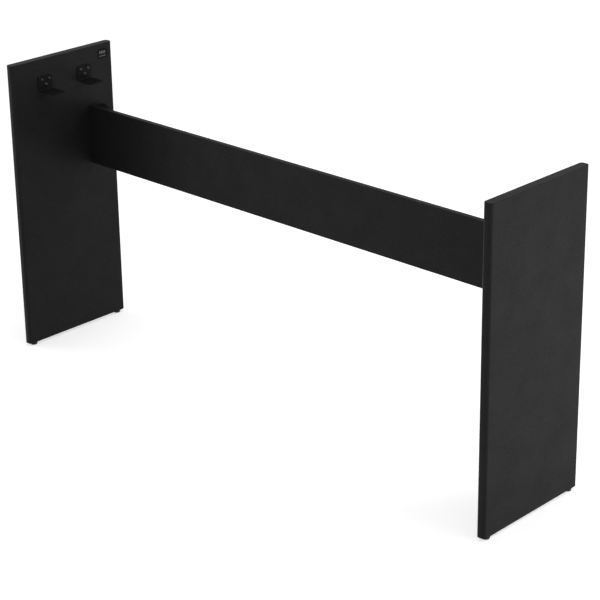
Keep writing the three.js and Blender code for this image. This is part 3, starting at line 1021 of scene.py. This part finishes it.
# Bracket screws
# The same zinc-plated wood screws, a little longer, three through each bracket plate.
bracket_screw_spin = 1.3
spin_between_brackets = 0.5
long_pattern = wood_screw("long_pattern", "left_front_bracket_screw_1")
for side in sides:
    for place, end in enumerate(ends):
        for number in plate_screws:
            name = f"{side}_{end}_bracket_screw_{number}"
            spin = bracket_screw_spin * number + spin_between_brackets * place
            drive_screw(long_pattern, "driven_" + name, name, inward(side), screw_head_height, spin)
bpy.data.objects.remove(long_pattern)


# Sticker
# A small black foil label with rounded corners, stuck high on the left board's inner face.
# It bears no words: a thin frame and two rows of plain grey blocks are all its print.
foil_black = (0.003, 0.003, 0.0032, 1.0)
foil_pale = (0.15, 0.15, 0.15, 1.0)
foil_specular = 0.02
foil_rough = (0.45, 0.55)
speckle_scale = 2500.0
speckle_span = (0.3, 0.6)
speckle_shares = (0.55, 1.0)
sticker_corner = 0.0015
sticker_corner_steps = 6
frame_inset = 0.002
frame_width = 0.0005
frame_share = 0.3
row_half_width = 0.0096
block_filled_share = 0.72
wide_row_centre = 0.0028
wide_row_half_height = 0.0034
wide_row_blocks = 4
thin_row_centre = -0.0058
thin_row_half_height = 0.0014
thin_row_blocks = 5
low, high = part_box("blank_sticker")
shape = bmesh.new()
box_between(shape, low, high)
round_edges(shape, edges_along(shape, x_axis), sticker_corner, sticker_corner_steps)
sticker = new_object(shape, "foil_sticker")
material, tree, shader, place = new_material("sticker_foil", foil_specular)
from_middle = parts_of(tree, vector_calc(tree, "SUBTRACT", place, (low + high) / 2))
across = calc(tree, "ABSOLUTE", from_middle[y_axis])
upward = calc(tree, "ABSOLUTE", from_middle[z_axis])
from_side = calc(tree, "SUBTRACT", (high.y - low.y) / 2, across)
from_end = calc(tree, "SUBTRACT", (high.z - low.z) / 2, upward)
from_rim = calc(tree, "MINIMUM", from_side, from_end)
past_outer = calc(tree, "GREATER_THAN", from_rim, frame_inset)
short_of_inner = calc(tree, "LESS_THAN", from_rim, frame_inset + frame_width)
frame_line = calc(tree, "MULTIPLY", past_outer, short_of_inner)
printed = calc(tree, "MULTIPLY", frame_line, frame_share)
within_rows = calc(tree, "LESS_THAN", across, row_half_width)
for row_centre, row_half_height, blocks in (
        (wide_row_centre, wide_row_half_height, wide_row_blocks),
        (thin_row_centre, thin_row_half_height, thin_row_blocks)):
    from_row = calc(tree, "ABSOLUTE", calc(tree, "SUBTRACT", from_middle[z_axis], row_centre))
    in_row = calc(tree, "MULTIPLY", within_rows, calc(tree, "LESS_THAN", from_row, row_half_height))
    from_start = calc(tree, "ADD", from_middle[y_axis], row_half_width)
    along_row = calc(tree, "DIVIDE", from_start, 2 * row_half_width / blocks)
    in_block = calc(tree, "LESS_THAN", calc(tree, "FRACT", along_row), block_filled_share)
    printed = calc(tree, "MAXIMUM", printed, calc(tree, "MULTIPLY", in_row, in_block))
speckle = noise(tree, place, speckle_scale, detail=3.0)
printed = calc(tree, "MULTIPLY", printed, remap(tree, speckle, speckle_span, speckle_shares))
tree.links.new(mix_colours(tree, printed, foil_black, foil_pale), shader["Base Color"])
tree.links.new(remap(tree, speckle, noise_span, foil_rough), shader["Roughness"])
dress(sticker, material, "blank_sticker")


# Studio
# A plain pale floor that runs on past the picture, under a white room. One large soft lamp hangs
# overhead, and smaller ones stand at the right rear, the right, the far left and the front.
white = (1.0, 1.0, 1.0, 1.0)
floor_grey = (0.8, 0.8, 0.8, 1.0)
floor_size = 60.0
floor_near_and_far = (1.5, 6.0)
floor_glow = (0.5, 0.75)
room_light = (0.45, 1.0)


def seen_directly(tree):
    """One for the rays that show the background: the camera's, and those off gloss or through glass."""
    path = add_node(tree, "LightPath", {}).outputs
    seen = calc(tree, "MAXIMUM", path["Is Camera Ray"], path["Is Transmission Ray"])
    return calc(tree, "MAXIMUM", seen, path["Is Glossy Ray"])


def softbox(name, place, aim, width, height, power, colour=(1.0, 1.0, 1.0)):
    """A rectangular soft lamp that faces a point."""
    lamp = bpy.data.lights.new(name, "AREA")
    lamp.shape = "RECTANGLE"
    lamp.size = width
    lamp.size_y = height
    lamp.energy = power
    lamp.color = colour
    holder = bpy.data.objects.new(name, lamp)
    bpy.context.scene.collection.objects.link(holder)
    holder.location = place
    holder.rotation_euler = (Vector(aim) - Vector(place)).to_track_quat("-Z", "Y").to_euler()


shape = bmesh.new()
bmesh.ops.create_grid(shape, x_segments=1, y_segments=1, size=floor_size / 2)
floor = new_object(shape, "studio_floor")
material, tree, shader, place = new_material("studio_floor", 0.0, Roughness=1.0)
shader["Base Color"].default_value = floor_grey
shader["Emission Color"].default_value = white
away = add_node(tree, "VectorMath", {"Vector": place}, operation="LENGTH").outputs["Value"]
glow = remap(tree, away, floor_near_and_far, floor_glow)
tree.links.new(calc(tree, "MULTIPLY", seen_directly(tree), glow), shader["Emission Strength"])
floor.data.materials.append(material)
floor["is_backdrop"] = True

world = bpy.data.worlds.new("white_room")
bpy.context.scene.world = world
world.use_nodes = True
tree = world.node_tree
background = next(n for n in tree.nodes if n.type == "BACKGROUND")
background.inputs["Color"].default_value = white
tree.links.new(remap(tree, seen_directly(tree), whole, room_light), background.inputs["Strength"])

softbox("overhead_softbox", place=(0.0, 0.3, 3.2), aim=(0.0, 0.0, 0.3), width=3.0, height=3.0, power=25.0)
softbox("right_rear_softbox", place=(2.2, 1.6, 1.8), aim=(0.3, 0.0, 0.4), width=1.4, height=1.0, power=25.0,
        colour=(0.97, 0.94, 1.06))
softbox("right_side_softbox", place=(3.0, 0.4, 0.5), aim=(0.3, 0.0, 0.2), width=1.2, height=0.6, power=21.0,
        colour=(1.0, 0.93, 0.92))
softbox("left_softbox", place=(-2.8, -1.1, 1.0), aim=(0.2, 0.0, 0.45), width=1.5, height=1.0, power=25.0)
softbox("front_softbox", place=(1.5, -2.0, 0.6), aim=(0.3, 0.07, 0.47), width=1.0, height=0.8, power=6.0)


# Camera
# It stands to the front right and above, where the photograph was taken from.
camera_place = Vector((2.658, -2.6655, 1.83))
camera_aim = Vector((0.0048, 0.0721, 0.3767))
camera_roll = radians(-0.88)
lens = bpy.data.cameras.new("camera")
lens.sensor_width = 36.0
lens.lens = 115.2
lens.shift_y = -0.1
camera = bpy.data.objects.new("camera", lens)
bpy.context.scene.collection.objects.link(camera)
facing = (camera_aim - camera_place).to_track_quat("-Z", "Y").to_matrix().to_4x4()
camera.matrix_world = Matrix.Translation(camera_place) @ facing @ Matrix.Rotation(camera_roll, 4, "Z")
bpy.context.scene.camera = camera
bpy.context.scene.view_settings.view_transform = "Standard"

low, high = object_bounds()
